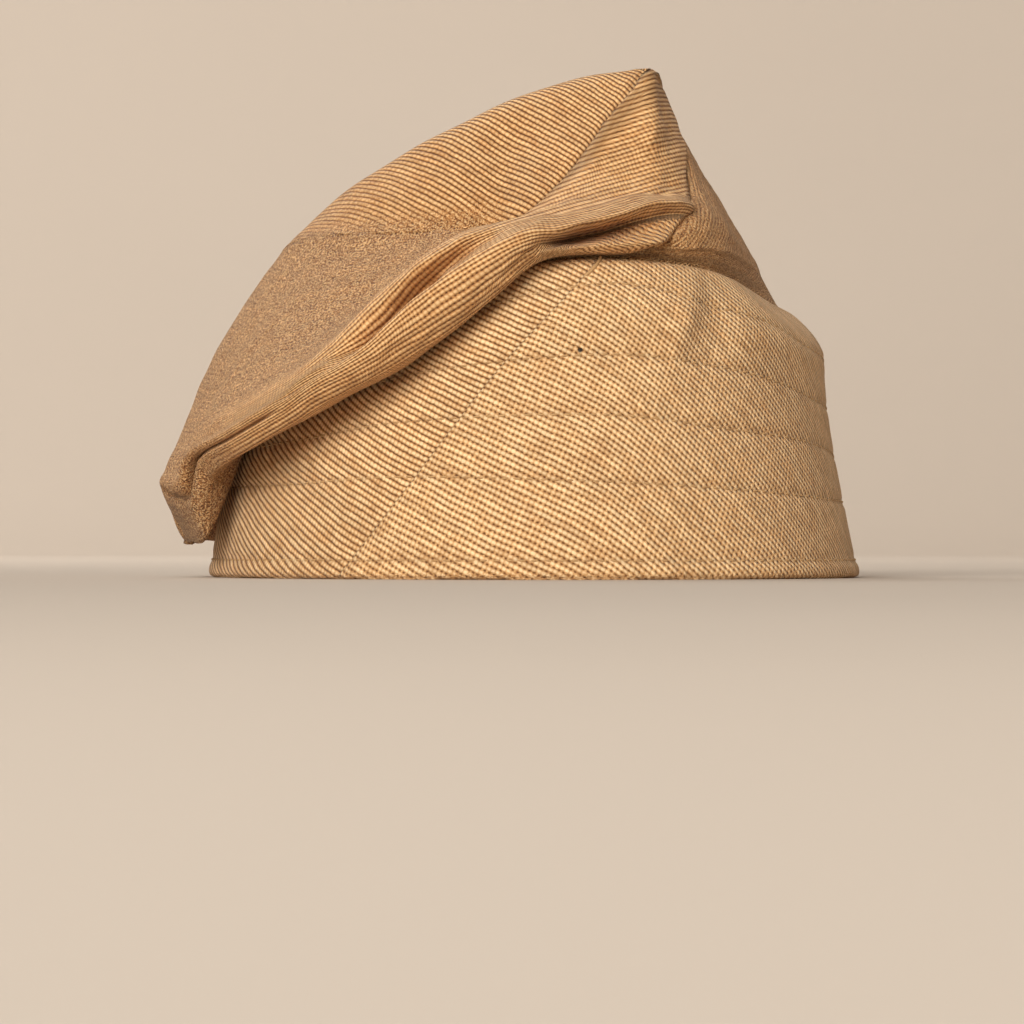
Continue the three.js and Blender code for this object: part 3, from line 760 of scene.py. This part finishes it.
def makeCloth(name, s, tint, seamShift, pinhole=None):
    material, g = newMaterial(name)
    spot = g.node("ShaderNodeTexCoord", {}, {}, "Object")

    def noise(scale, detail, at=spot):
        return g.node("ShaderNodeTexNoise", {}, {"Vector": at, "Scale": scale, "Detail": detail})

    def part(vector, axis):
        return g.node("ShaderNodeSeparateXYZ", {}, {0: vector}, axis)

    def chance(kind, links):
        return g.node("ShaderNodeTexWhiteNoise", {"noise_dimensions": kind}, links, "Value")

    weave = g.node("ShaderNodeAttribute", {"attribute_name": "weave"}, {}, "Vector")
    wear = g.node("ShaderNodeAttribute", {"attribute_name": "wear"}, {}, "Vector")
    u, v, openWeave = part(weave, "X"), part(weave, "Y"), part(weave, "Z")
    # crease is painted shade, in the seams, the stitched grooves, the dart and under the flap; worn is real
    # wear
    crease, worn = part(wear, "X"), part(wear, "Y")
    if seamShift:
        # the two ends of the strip meet at the slanting seam, so the yarns don't line up across it
        join = g.node("ShaderNodeAttribute", {"attribute_name": "join"}, {}, "Fac")
        otherEnd = join.math("GREATER_THAN", 0.0)
        v = v + seamShift * otherEnd
        u = u + s["endShift"] * seamShift * otherEnd
        openWeave = openWeave - s["endOpen"] * otherEnd
        # painted shade along the slanting seam
        line = 2.718 ** (-s["seamSharpness"] * join * join)
        crease = crease.math("MAXIMUM", s["seamShade"] * line)
    drift = noise(s["wanderScale"], 2.0)
    shift = g.node("ShaderNodeVectorMath", {"operation": "ADD"}, {0: spot, 1: (0.31, 0.17, 0.43)})
    driftAcross = noise(s["wanderScale"], 2.0, shift)
    tremble = noise(s["trembleScale"], 1.0)
    across = (v + s["wander"] * (driftAcross - 0.5) + s["tremble"] * (tremble - 0.5)) / s["ribPitch"]
    along = (u + s["wander"] * (drift - 0.5) + s["tremble"] * (tremble - 0.5)) / s["yarnPitch"]
    ribNumber = across.floor()
    gapNumber = (across + 0.5).floor()
    ribTone = chance("1D", {"W": ribNumber})
    gapTone = chance("1D", {"W": gapNumber + 0.5})
    alongStep, ribStep = s["streakStep"]
    streakAt = g.node("ShaderNodeCombineXYZ", {}, {"X": alongStep * u, "Y": ribStep * ribNumber, "Z": 0.0})
    streakSockets = {"Vector": streakAt, "Scale": 1.0, "Detail": 2.0}
    streak = g.node("ShaderNodeTexNoise", {"noise_dimensions": "2D"}, streakSockets)
    # the ribs, dented where the cross yarns pull them in
    dentAt = along + s["dentShift"] * ribTone
    dentCell = g.node("ShaderNodeCombineXYZ", {}, {"X": dentAt.floor(), "Y": ribNumber, "Z": 0.0})
    dentTone = chance("2D", {"Vector": dentCell})
    dent = dentAt.fract().dome()
    thin, full = s["ribFullness"]
    dented = 1 - s["dentDepth"] + s["dentDepth"] * dent
    rib = across.fract().dome() ** s["ribRound"] * dented * (thin + full * streak)
    # the cross yarns that show in the gaps, with dark holes between them
    crossAt = along + s["dentShift"] * gapTone
    closed, opened = s["crossHeight"]
    least, play = s["crossPlay"]
    cross = crossAt.fract().dome() * (closed + opened * openWeave) * (least + play * dentTone)
    height = rib.math("SMOOTH_MAX", cross, s["crossBlend"])
    # where the cloth is worn the ribs give way to a fine grain
    grain = noise(s["grainScale"], 1.0)
    grainGain, grainSink = s["grainHeight"]
    height = height + s["grainShare"] * worn * (grainGain * grain - grainSink - height)
    # colour by height: painted shade low in the weave, painted highlight on its tops
    stops = [(at, s[toneName]) for toneName, at in s["stops"].items()]
    tone = g.node("ShaderNodeValToRGB", {"stops": stops}, {"Fac": height})
    cloud = noise(s["cloudScale"], 3.0)
    fuzz = noise(s["fuzzScale"], 2.0)
    share = s["light"]
    light = share["base"] + share["rib"] * ribTone + share["dent"] * dentTone
    light = light + share["cloud"] * cloud + share["fuzz"] * fuzz
    # painted shade: the cloth is darkened where crease is set
    light = light * (1 - s["creaseShade"] * crease)
    relief = height + s["fuzzHeight"] * fuzz
    if pinhole:
        holeAt, holeRadius = pinhole
        away = g.node("ShaderNodeVectorMath", {"operation": "DISTANCE"}, {0: spot, 1: holeAt}, "Value")
        rim, steepness = s["pitEdge"]
        pit = (rim - steepness * away / holeRadius).clamp()
        # painted shade: the pinhole drawn dark
        light = light * (1 - s["pitShade"] * pit)
        relief = relief - s["pitDepth"] * pit
    multiply = {"data_type": "RGBA", "blend_type": "MULTIPLY"}
    tinted = g.node("ShaderNodeMix", multiply, {0: 1.0, 6: tone, 7: (*tint, 1)}, 2)
    color = g.node("ShaderNodeVectorMath", {"operation": "SCALE"}, {0: tinted, "Scale": light})
    rough = s["rough"] - s["shine"] * height + s["cloudRough"] * cloud
    normal = g.node("ShaderNodeBump", {}, {"Strength": 1.0, "Distance": s["bumpHeight"], "Height": relief})
    addSurface(g, {**s["surface"], "Base Color": color, "Roughness": rough, "Normal": normal})
    return material


threadSet = {
    # dark is painted shade in the low parts of the twist; the patches vary the thread's tone at random
    "color": (0.60, 0.37, 0.16), "dark": (0.34, 0.18, 0.07), "twist": 5200.0, "patches": 160.0,
    "bumpHeight": 0.0001, "bumpStrength": 0.6, "rough": 0.75, "shine": 0.2, "sheen": 0.1,
}


def makeThread(name, s):
    material, g = newMaterial(name)
    spot = g.node("ShaderNodeTexCoord", {}, {}, "Object")
    ply = g.node("ShaderNodeTexNoise", {}, {"Vector": spot, "Scale": s["twist"], "Detail": 1.0})
    patch = g.node("ShaderNodeTexNoise", {}, {"Vector": spot, "Scale": s["patches"], "Detail": 1.0})
    # the colour follows the ply relief, darker in its low parts as painted shade, with patches of tone at
    # random
    mixed = (0.6 * ply + 0.5 * patch).clamp()
    tones = {0: mixed, 6: (*s["dark"], 1), 7: (*s["color"], 1)}
    color = g.node("ShaderNodeMix", {"data_type": "RGBA"}, tones, 2)
    relief = {"Strength": s["bumpStrength"], "Distance": s["bumpHeight"], "Height": ply}
    normal = g.node("ShaderNodeBump", {}, relief)
    rough = s["rough"] - s["shine"] * ply
    addSurface(g, {"Sheen Weight": s["sheen"], "Base Color": color, "Roughness": rough, "Normal": normal})
    return material


threadFinish = makeThread("stitch_thread", threadSet)
print("cloth and thread made")


# the band

def biasBearing(height):
    seam = bandSet["biasSeam"]
    return column(seam["height"], seam["bearing"], height)


def seamDistance(turn):
    return turn * bandSet["degreeLength"] * math.sin(math.radians(bandSet["biasSeam"]["slope"]))


def bandForms(bearing, height):
    total = 0 * bearing * height
    for formBearing, formHeight, spread, reach, depth, slant in bandSet["forms"]:
        side = (turnFrom(bearing, formBearing) + slant * (height - formHeight)) / spread
        rise = (height - formHeight) / reach
        total = total + depth * np.exp(-side * side - rise * rise)
    return total


def stitchHeight(name, bearing):
    rows = bandSet["stitchRows"]
    return column(rows["bearing"], rows[name], bearing, 360.0)


stitchNames = ("upper", "second", "third", "fourth", "hem")


def bandSurface(bearing, height):
    # outer radius with the hem roll, the pressed forms, the stitched grooves and the slanting seam
    s, groove, seam = bandSet, bandSet["groove"], bandSet["biasSeam"]
    edge = bandEdge(bearing, "height")
    radius = bandRadius(bearing, np.clip(height / edge, 0, 1)) + bandForms(bearing, height)
    radius = radius + s["hemRoll"] * np.sin(np.pi * np.clip(height / s["hemHeight"], 0, 1))
    around = bearing * s["waveStep"]
    pucker = ripple(around, height, *s["puckerWaves"])
    for name in stitchNames:
        away = (height - stitchHeight(name, bearing)) / groove["width"]
        radius = radius - (groove["depth"] + groove["uneven"] * pucker) * bump(away)
        radius = radius + groove["pucker"] * pucker * bump(away / groove["puckerReach"])
    off = seamDistance(turnFrom(bearing, biasBearing(height)))
    radius = radius - seam["depth"] * bump(off / seam["width"])
    radius = radius + seam["ridge"] * bump((off + seam["ridgeAway"]) / seam["ridgeWidth"])
    return radius + s["sag"] * ripple(around, height, *s["sagWaves"])


def bandRibs(along, height):
    # places along and across the slanting ribs, which fan a little and draw closer up the band
    r = bandSet["ribs"]
    fan = r["fan"] * (along + np.hypot(along - r["fanFrom"], r["fanReach"]))
    v = r["across"] * along + fan + (r["up"] + r["upGain"] * height) * height
    return r["yarnAcross"] * along + r["yarnUp"] * height, v


def edgeCurl(height, edge, half):
    # how far the cloth draws back to round the band's upper edge and its rim
    top = np.clip(half - (edge - height), 0, half)
    bottom = np.clip(half - height, 0, half)
    return half - np.sqrt(np.maximum(half * half - np.maximum(top, bottom) ** 2, 0))


def makeBand(s):
    ribs, groove, farthest = s["ribs"], s["groove"], s["biasSeam"]["farthest"]
    bearing = np.arange(s["columns"]) * 360.0 / s["columns"]
    along = -np.radians(turnFrom(bearing, ribs["zeroBearing"])) * ribs["radius"]
    none = 0 * bearing
    edge = bandEdge(bearing, "height")
    half = s["thickness"] / 2
    loopRows = []
    weaveRows = []
    shadeAndWearRows = []
    joinRows = []
    fractions = np.linspace(0, 1, s["rows"])
    for fraction in fractions - s["rowShift"] * np.sin(2 * np.pi * fractions):
        height = edge * fraction
        radius = bandSurface(bearing, height) - edgeCurl(height, edge, half)
        loopRows.append(place(bearing, radius, height))
        weaveRows.append(np.stack([*bandRibs(along, height), none + ribs["openOutside"]], 1))
        seamTurn = turnFrom(bearing, biasBearing(height))
        joinRows.append(seamDistance(np.clip(seamTurn, -farthest, farthest)))
        # painted shade along each stitched groove, kept as crease
        crease = none
        for name in stitchNames:
            away = (height - stitchHeight(name, bearing)) / groove["shadeWidth"]
            crease = np.maximum(crease, groove["shade"] * bump(away))
        toEdge = np.minimum(height, edge - height)
        worn = s["edgeWear"] * before(toEdge, (s["edgeWearReach"], s["edgeWearReach"]))
        shadeAndWearRows.append(np.stack([crease, worn, none], 1))
    for fraction in np.linspace(1, 0, s["innerRows"]):
        height = edge * fraction
        outside = bandRadius(bearing, np.clip(height / edge, 0, 1)) + bandForms(bearing, height)
        radius = outside - s["thickness"] + edgeCurl(height, edge, half)
        loopRows.append(place(bearing, radius, height))
        weaveRows.append(np.stack([*bandRibs(along, height), none + ribs["openInside"]], 1))
        shadeAndWearRows.append(np.stack([none, none, none], 1))
        joinRows.append(none - farthest)
    loop = np.stack(loopRows, 1)
    weave = np.stack(weaveRows, 1)
    wear = np.stack(shadeAndWearRows, 1)
    columns, count = loop.shape[:2]
    at = np.arange(columns * count).reshape(columns, count)
    nextColumn = np.roll(at, -1, 0)
    up = np.roll(at, -1, 1)
    nextUp = np.roll(nextColumn, -1, 1)
    quads = np.stack([at, up, nextUp, nextColumn], -1).reshape(-1, 4)
    band = buildMesh("band_cuff", toScene(loop), quads, weave.reshape(-1, 3), wear.reshape(-1, 3))
    join = band.data.attributes.new("join", "FLOAT", "POINT")
    join.data.foreach_set("value", np.stack(joinRows, 1).astype(np.float32).ravel())
    band.data.materials.append(bandCloth)
    return band


def pinholePlace(bearing, height, radius):
    surface = bandSurface(np.array([bearing]), np.array([height]))
    return Vector(toScene(place(np.array([bearing]), surface, height))[0]), radius * mm


bandHole = pinholePlace(*bandSet["pinhole"])
bandCloth = makeCloth("band_cloth", clothSet, bandSet["tint"], bandSet["biasSeam"]["shift"], bandHole)
# a darker copy of the band's cloth: painted shade on the crown
crownCloth = makeCloth("crown_cloth", clothSet, crownSet["tint"], 0.0)

band = makeBand(bandSet)
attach(band, "root")
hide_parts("band")
print("band made", len(band.data.polygons))


# the crown

def sinkSeams(grid, normals, distance):
    seam = crownSet["seam"]
    sink = seam["sink"] * bump(distance / seam["reach"])
    return grid - normals * sink[..., None]


def raiseValley(valley, toSeam):
    seam = crownSet["seam"]
    return seam["valleyRise"] * valley * np.exp(-toSeam / seam["valleyReach"])


def seamShade(nearest):
    # painted shade along a seam
    seam = crownSet["seam"]
    return seam["shade"] * bump(nearest / seam["shadeWidth"])


def ribPlaces(grid, level, ribLevel, flatLevel):
    # distances along and across the ribs, which run with the folds; over the crest they keep its direction
    side = unit(np.gradient(grid, axis=0))
    step = unit(np.gradient(grid, axis=1))
    along = (side * step).sum(2)
    across = np.sqrt(np.maximum(1 - along * along, 0.05))
    flatRow = int(np.argmin(abs(level - flatLevel)))
    ribRow = int(np.argmin(abs(level - ribLevel)))
    for turned in (along, across):
        turned[:, flatRow:] = turned[:, flatRow][:, None]
        for k in range(crownSet["ribRounds"]):
            turned[1:-1] = (turned[:-2] + 2 * turned[1:-1] + turned[2:]) / 4
    length = np.linalg.norm(np.diff(grid, axis=1), axis=2)
    zero = np.zeros((len(grid), 1))
    v = np.concatenate([zero, np.cumsum(length * (across[:, 1:] + across[:, :-1]) / 2, 1)], 1)
    u = np.concatenate([zero, np.cumsum(length * (along[:, 1:] + along[:, :-1]) / 2, 1)], 1)
    run = arcLength(grid, 0)[:, ribRow][:, None]
    v = v - v[:, ribRow][:, None]
    even = v[len(v) // 6:len(v) // 2].mean(0)
    v = np.where(np.arange(v.shape[1]) <= flatRow, even, even[flatRow] + v - v[:, flatRow][:, None])
    return u - u[:, ribRow][:, None] + run, v


def nearestIndex(values, wanted):
    return int(np.argmin(abs(values - wanted)))


def rightRibs(grid, bearing, level, u, v):
    s = crownSet
    lowRoll = before(level, s["lowRollTo"]) * before(bearing, s["lowRollFront"])
    v = v - s["lowRollBias"] * u * lowRoll
    # up the front the ribs run straight on, climbing a little towards the peak
    face = after(level, s["faceFrom"]) * before(bearing, s["faceTo"])
    up, aside = s["frontRibs"]
    straight = up * grid[..., 2] - aside * (grid @ place(s["frontRibsBearing"], 1.0, 0.0))
    middleBearing, middleLevel = s["frontRibsMiddle"]
    middle = nearestIndex(bearing[:, -1], middleBearing), nearestIndex(level, middleLevel)
    straight = straight - straight[middle] + v[middle]
    return u, v + (straight - v) * face


def leftRibs(u, v):
    bias = math.radians(crownSet["leftBias"])
    return u * math.cos(bias) - v * math.sin(bias), v * math.cos(bias) + u * math.sin(bias)


def rightShade(bearing, level):
    # painted shade in the dart's crease, and on the cloth under the hanging flap
    s = crownSet
    dart = np.minimum(*[foldDistance(bearing, level, fold) for fold in s["folds"][:2]])
    flap = after(bearing, s["flapFrom"]) * before(level, s["flapTo"])
    return np.maximum(s["dartShade"] * bump(dart / s["dartWidth"]), s["flapShade"] * flap)


def makeWall(name, section, steps, columns, firstTurn, lastTurn, seed):
    # firstTurn and lastTurn give the bearing of the panel's two side seams at every level
    s = crownSet
    right = section is rightSection
    level = stepLevels(steps)
    margin, tableStep = s["tableMargin"], s["tableStep"]
    table = np.arange(min(firstTurn) - margin, max(lastTurn) + margin + tableStep, tableStep)
    profiles = thread(section(table), steps)
    along = np.arange(-1, columns + 2) / columns
    bearing = firstTurn + (lastTurn - firstTurn) * along[:, None]
    levels = range(len(level))
    radius = np.stack([np.interp(bearing[:, k], table, profiles[:, k, 0]) for k in levels], 1)
    height = np.stack([np.interp(bearing[:, k], table, profiles[:, k, 1]) for k in levels], 1)
    if right:
        end = s["lowRollEnd"]
        toFront = np.radians(bearing - firstTurn) * radius
        low = bump(np.maximum(level - end["level"], 0) / end["fade"])
        radius = radius - end["drawnIn"] * bump(toFront / end["width"]) * low
    plain = place(bearing, radius, height)
    x = np.radians(bearing) * s["meanRadius"]
    rise = arcLength(plain, 1)
    soft = 0 * x
    for k, (waveHeight, waves, longest) in enumerate((s["wideWaves"], s["fineWaves"])):
        soft = soft + waveHeight * ripple(x, rise, seed + k, waves, longest)
    if right:
        soft = soft + foldHeight(bearing, level)
    grid = plain + gridNormals(plain) * (soft * after(level, s["freeFrom"]))[..., None]
    normals = gridNormals(grid)
    rise = arcLength(grid, 1)
    toSeam = rise[:, -1:] - rise
    toFirst = np.radians(bearing - firstTurn) * radius
    toLast = np.radians(lastTurn - bearing) * radius
    seam = s["seam"]
    opened = after(bearing, s["openFrom"]) * before(bearing, s["openTo"])
    topSeam = toSeam + seam["openSoftness"] * seam["openShare"] * opened
    nearest = np.minimum(np.minimum(abs(toFirst), abs(toLast)), topSeam)
    grid = sinkSeams(grid, normals, nearest)
    valley = opened * before(bearing, s["valleyTo"])
    grid = grid + normals * raiseValley(valley, toSeam)[..., None]
    below, reach = s["innerTop"]
    nearTop = after(level, (len(steps) - below, reach))[None, :, None]
    inner = innerGrid(grid, evenNormals(gridNormals(grid), s["innerRounds"]), nearTop)
    u, v = ribPlaces(grid, level, len(steps) - (4 if right else 2), len(steps) - 2)
    u, v = rightRibs(grid, bearing, level, u, v) if right else leftRibs(u, v)
    weave = np.stack([-u, v, s["open"] + 0 * v], -1)
    # painted shade along the seams, less where a seam lies open
    crease = seamShade(nearest) * (1 - seam["openShare"] * opened)
    worn = after(bearing, s["wornFrom"]) * before(bearing, s["wornTo"])
    if right:
        # the painted shade of the dart and the flap
        crease = np.maximum(crease, rightShade(bearing, level))
        worn = np.maximum(worn, after(bearing, s["shelfFrom"]) * after(level, s["shelfAbove"]))
    else:
        worn = np.maximum(worn, s["leftWear"])
    worn = np.maximum(worn, seam["valleyWear"] * valley * before(toSeam, s["valleyWearTo"]))
    wear = np.stack([crease, worn, 0 * worn], -1)
    cut = slice(1, -1)  # the first and last column only serve the normals
    piece = sheetMesh(name, grid[cut], inner[cut], weave[cut], wear[cut])
    piece.data.materials.append(crownCloth)
    return piece


lidSet = {
    "columns": 170, "steps": (14, 14, 13, 13), "trim": 0.006,
    "ridge": (  # along the top panel, bearing, radius, height
        (0, -10.3, 54.5, 133),
        (0.25, 6.6, 43.2, 130),
        (0.5, 50.2, 35, 120.7),
        (0.75, 95, 47, 106.3),
        (1, 115, 68.5, 88),
    ),
    "faceBulge": (-1.5, -1.6, 1.25), "rearBulge": (0, 0, 2.0),
    "waveHeight": 0.5, "waves": (21, 6, 40.0), "wavesFrom": (0.0, 6.0),
    "ribs": {
        "climb": 0.86, "aside": 0.60, "fan": 0.0036, "yarnAside": 0.85, "yarnClimb": 0.55,
        "ridgeSlope": 0.92, "open": 0.22,
    },
    # where each of these begins or ends, as a part of the panel's length, and the reach of its soft edge
    "openFrom": (0.3, 0.12), "valleyTo": (1.0, 0.14), "tipFrom": (0.86, 0.13), "wornFrom": (0.45, 0.4),
    "tipSink": 1.0, "worn": 0.5, "valleyWearTo": (10.0, 9.0),
}


def makeLid(name, s):
    seam, ribs = crownSet["seam"], s["ribs"]
    peak, back = crownSet["peak"], crownSet["back"]
    t = s["trim"] + (1 - 2 * s["trim"]) * np.arange(s["columns"] + 1) / s["columns"]
    edges = []
    for bearing in (peak + (back - peak) * t, peak - (360 - back + peak) * t):
        edgeLine = crownSection(bearing)[:, -1]
        edges.append(place(bearing, edgeLine[:, 0], edgeLine[:, 1]))
    near, far = edges
    table = np.array(s["ridge"], float)
    top = spline(table[:, 0], place(table[:, 1], table[:, 2], table[:, 3]), t)
    lift = np.sin(np.pi * t)[:, None]
    face = (near + top) / 2 + np.array(s["faceBulge"]) * lift
    rear = (top + far) / 2 + np.array(s["rearBulge"]) * lift
    grid = thread(np.stack([near, face, top, rear, far], 1), s["steps"])
    normals = gridNormals(grid)
    across = arcLength(grid, 1)
    toFar = across[:, -1:] - across
    soft = s["waveHeight"] * ripple(grid[..., 0], grid[..., 2], *s["waves"])
    soft = soft * after(np.minimum(across, toFar), s["wavesFrom"])
    grid = grid + normals * soft[..., None]
    t = t[:, None]
    opened = after(t, s["openFrom"])
    nearest = np.minimum(across + seam["openSoftness"] * seam["openShare"] * opened, toFar)
    grid = sinkSeams(grid, normals, nearest)
    valley = opened * before(t, s["valleyTo"])
    tip = s["tipSink"] * after(t, s["tipFrom"])
    grid = grid + normals * (raiseValley(valley, across) - tip)[..., None]
    inner = innerGrid(grid, gridNormals(grid), 1.0)
    ridgeRow = s["steps"][0] + s["steps"][1]
    viewAngle = math.radians(viewSet["bearing"])
    aside = grid[..., 0] * math.cos(viewAngle) - grid[..., 1] * math.sin(viewAngle)
    climb = across - across[:, ridgeRow][:, None] + (grid[:, ridgeRow, 2] / ribs["ridgeSlope"])[:, None]
    v = ribs["climb"] * climb + ribs["aside"] * aside + ribs["fan"] * aside ** 2
    u = ribs["yarnAside"] * aside - ribs["yarnClimb"] * climb
    weave = np.stack([u, v, ribs["open"] + 0 * u], -1)
    # painted shade along the seams, less where a seam lies open
    crease = seamShade(nearest) * (1 - seam["openShare"] * opened)
    worn = s["worn"] * after(t, s["wornFrom"]) * np.ones_like(across)
    worn = np.maximum(worn, seam["valleyWear"] * valley * before(across, s["valleyWearTo"]))
    piece = sheetMesh(name, grid, inner, weave, np.stack([crease, worn, 0 * crease], -1))
    piece.data.materials.append(crownCloth)
    return piece


def makeRight(name, s):
    front = frontSeam(stepLevels(s["rightSteps"]), "right")
    back = np.full(len(front), s["back"])
    return makeWall(name, rightSection, s["rightSteps"], s["rightColumns"], front, back, s["rightSeed"])


def makeLeft(name, s):
    level = stepLevels(s["leftSteps"])
    front = frontSeam(level, "left") + 360 + s["underlap"] * before(level, s["underlapTo"])
    back = np.full(len(front), s["back"])
    return makeWall(name, leftSection, s["leftSteps"], s["leftColumns"], back, front, s["leftSeed"])


crownTop = makeLid("crown_top_panel", lidSet)
crownRight = makeRight("crown_right_panel", crownSet)
crownLeft = makeLeft("crown_left_panel", crownSet)
for piece, node in ((crownTop, "crown_top"), (crownRight, "crown_right"), (crownLeft, "crown_left")):
    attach(piece, "root")
    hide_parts(node)
print("crown made", [len(p.data.polygons) for p in (crownTop, crownRight, crownLeft)])


# the stitching

def tubeRings(turn, radius, rise, thick, sides):
    # rings of points round a thread that lies along the band
    middle = place(turn, radius, rise)
    way = unit(np.gradient(middle, axis=0))
    outward = place(turn, np.ones_like(turn), 0 * turn)
    side = np.cross(way, outward)
    around = np.linspace(0, 2 * np.pi, sides, endpoint=False)[None, :, None]
    spokes = np.cos(around) * side[:, None] + np.sin(around) * outward[:, None]
    return middle[:, None] + thick[:, None, None] * spokes


def threadMesh(name, tubes):
    # one mesh of closed tubes, all with the same number of rings and sides
    rings, sides = tubes[0].shape[:2]
    at = np.arange(rings * sides).reshape(rings, sides)
    nextSide = np.roll(at, -1, 1)
    wall = np.stack([at[:-1], nextSide[:-1], nextSide[1:], at[1:]], -1).reshape(-1, 4)
    quads = np.concatenate([wall + k * rings * sides for k in range(len(tubes))])
    piece = buildMesh(name, toScene(np.stack(tubes)), quads)
    closeEnds(piece, rings, sides)
    piece.data.materials.append(threadFinish)
    return piece


def closeEnds(piece, rings, sides):
    made = bmesh.new()
    made.from_mesh(piece.data)
    made.verts.ensure_lookup_table()
    size = rings * sides
    for first in range(0, len(made.verts), size):
        made.faces.new([made.verts[first + k] for k in range(sides)][::-1])
        made.faces.new([made.verts[first + size - sides + k] for k in range(sides)])
    made.to_mesh(piece.data)
    made.free()


stitchSet = {
    "length": 2.7, "gap": 0.6, "radius": 0.30, "sides": 6, "rings": 6, "proud": 0.10, "dive": 0.55,
    "startPlay": 0.12, "lengthPlay": (0.92, 1.05), "slant": 0.14, "lineSteps": 2880, "seed": 5,
}


def makeStitches(name, s):
    rng = random.Random(s["seed"])
    tubes = []
    part = np.linspace(0, 1, s["rings"])
    arch = np.sin(np.pi * part)
    thick = s["radius"] * (0.65 + 0.35 * arch)
    pitch = s["length"] + s["gap"]
    bearing = np.linspace(0, 360, s["lineSteps"] + 1)
    for rowName in stitchNames:
        height = stitchHeight(rowName, bearing)
        line = place(bearing, bandSurface(bearing, height), height)
        run = np.concatenate([[0], np.cumsum(np.linalg.norm(np.diff(line, axis=0), axis=1))])
        for k in range(int(run[-1] / pitch)):
            start = k * pitch + rng.uniform(-s["startPlay"], s["startPlay"])
            at = start + np.linspace(0, s["length"] * rng.uniform(*s["lengthPlay"]), s["rings"])
            turn = np.interp(at, run, bearing)
            slant = rng.uniform(-s["slant"], s["slant"])
            rise = np.interp(at, run, height) + np.linspace(-1, 1, s["rings"]) * slant
            radius = bandSurface(turn, rise) + s["proud"] - s["dive"] * (1 - arch)
            tubes.append(tubeRings(turn, radius, rise, thick, s["sides"]))
    return threadMesh(name, tubes)


stitches = makeStitches("band_stitching", stitchSet)
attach(stitches, "root")
print("stitching made", len(stitches.data.polygons))


weltSet = {
    "bearing": (11.9, 10.2, 8.9, 8.3), "height": (76.0, 78.2, 80.4, 82.0),
    "radius": 0.5, "rings": 14, "sides": 8, "proud": 0.3, "dive": 0.9, "diveTo": (0.25, 0.25),
}


def makeWelt(name, s):
    # the raised end of the slanting seam, which stands a little over the band's edge
    along = np.linspace(0, 1, s["rings"])
    at = np.linspace(0, 1, len(s["bearing"]))
    turn = column(at, s["bearing"], along)
    rise = column(at, s["height"], along)
    surface = bandSurface(turn, np.minimum(rise, bandEdge(turn, "height")))
    radius = surface + s["proud"] - s["dive"] * before(along, s["diveTo"])
    thick = s["radius"] * (0.7 + 0.3 * np.sin(np.pi * along))
    return threadMesh(name, [tubeRings(turn, radius, rise, thick, s["sides"])])


welt = makeWelt("band_seam_end", weltSet)
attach(welt, "root")
print("seam end made")
